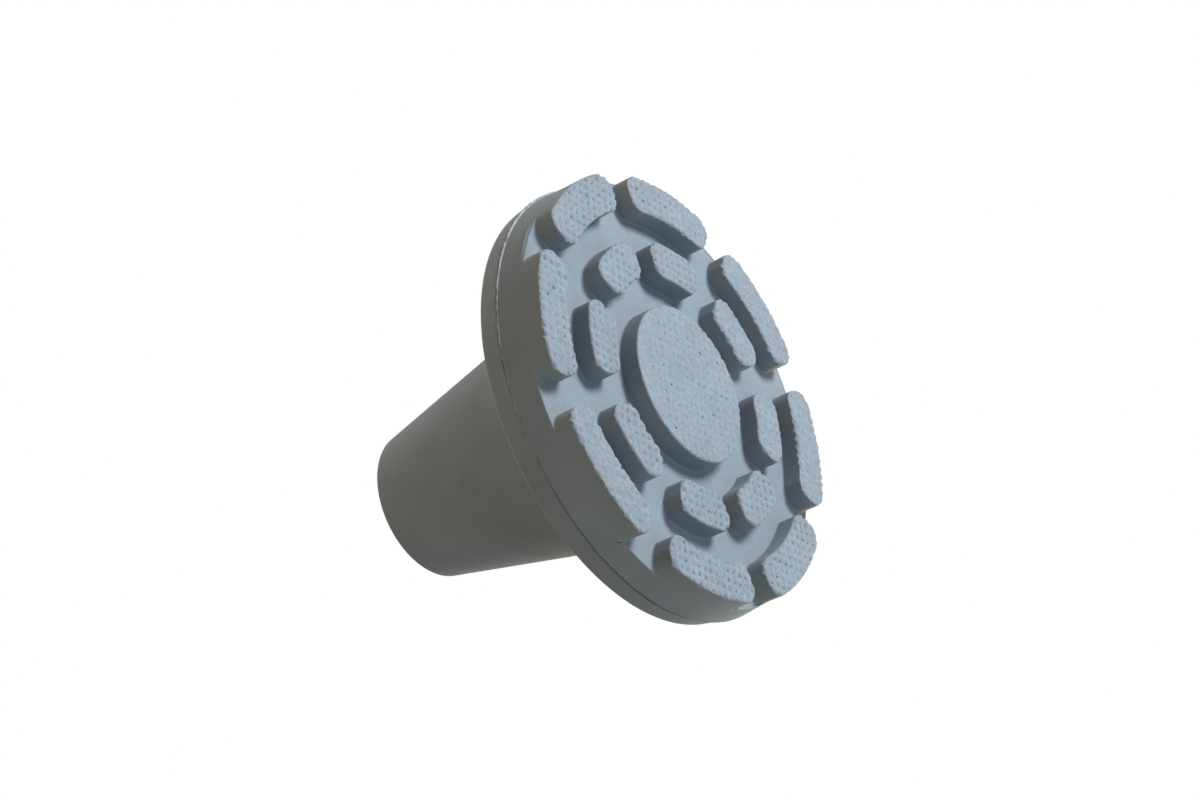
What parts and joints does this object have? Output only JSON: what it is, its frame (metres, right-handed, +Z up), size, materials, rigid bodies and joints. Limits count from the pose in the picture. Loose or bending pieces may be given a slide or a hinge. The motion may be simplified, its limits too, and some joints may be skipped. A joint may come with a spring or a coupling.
{
  "type": "rubber cane tip",
  "caption": "Wide moulded rubber foot for a walking cane: a tapered collar with a blind socket on a round flange, and a tread of rounded lugs round a centre disc.",
  "frame": {"origin": "centre of the tread, on the ground that the tip stands on", "axes": "+Z up along the socket's axis, from the tread to the collar's mouth; +X through the middle of one outer lug and one inner lug"},
  "size_m": [0.06, 0.06, 0.0455],
  "materials": {
    "rubber": "matte moulded grey rubber, knurled on the tread"
  },
  "bodies": {
    "root": {"cane_tip": "rubber"}
  },
  "joints": []
}
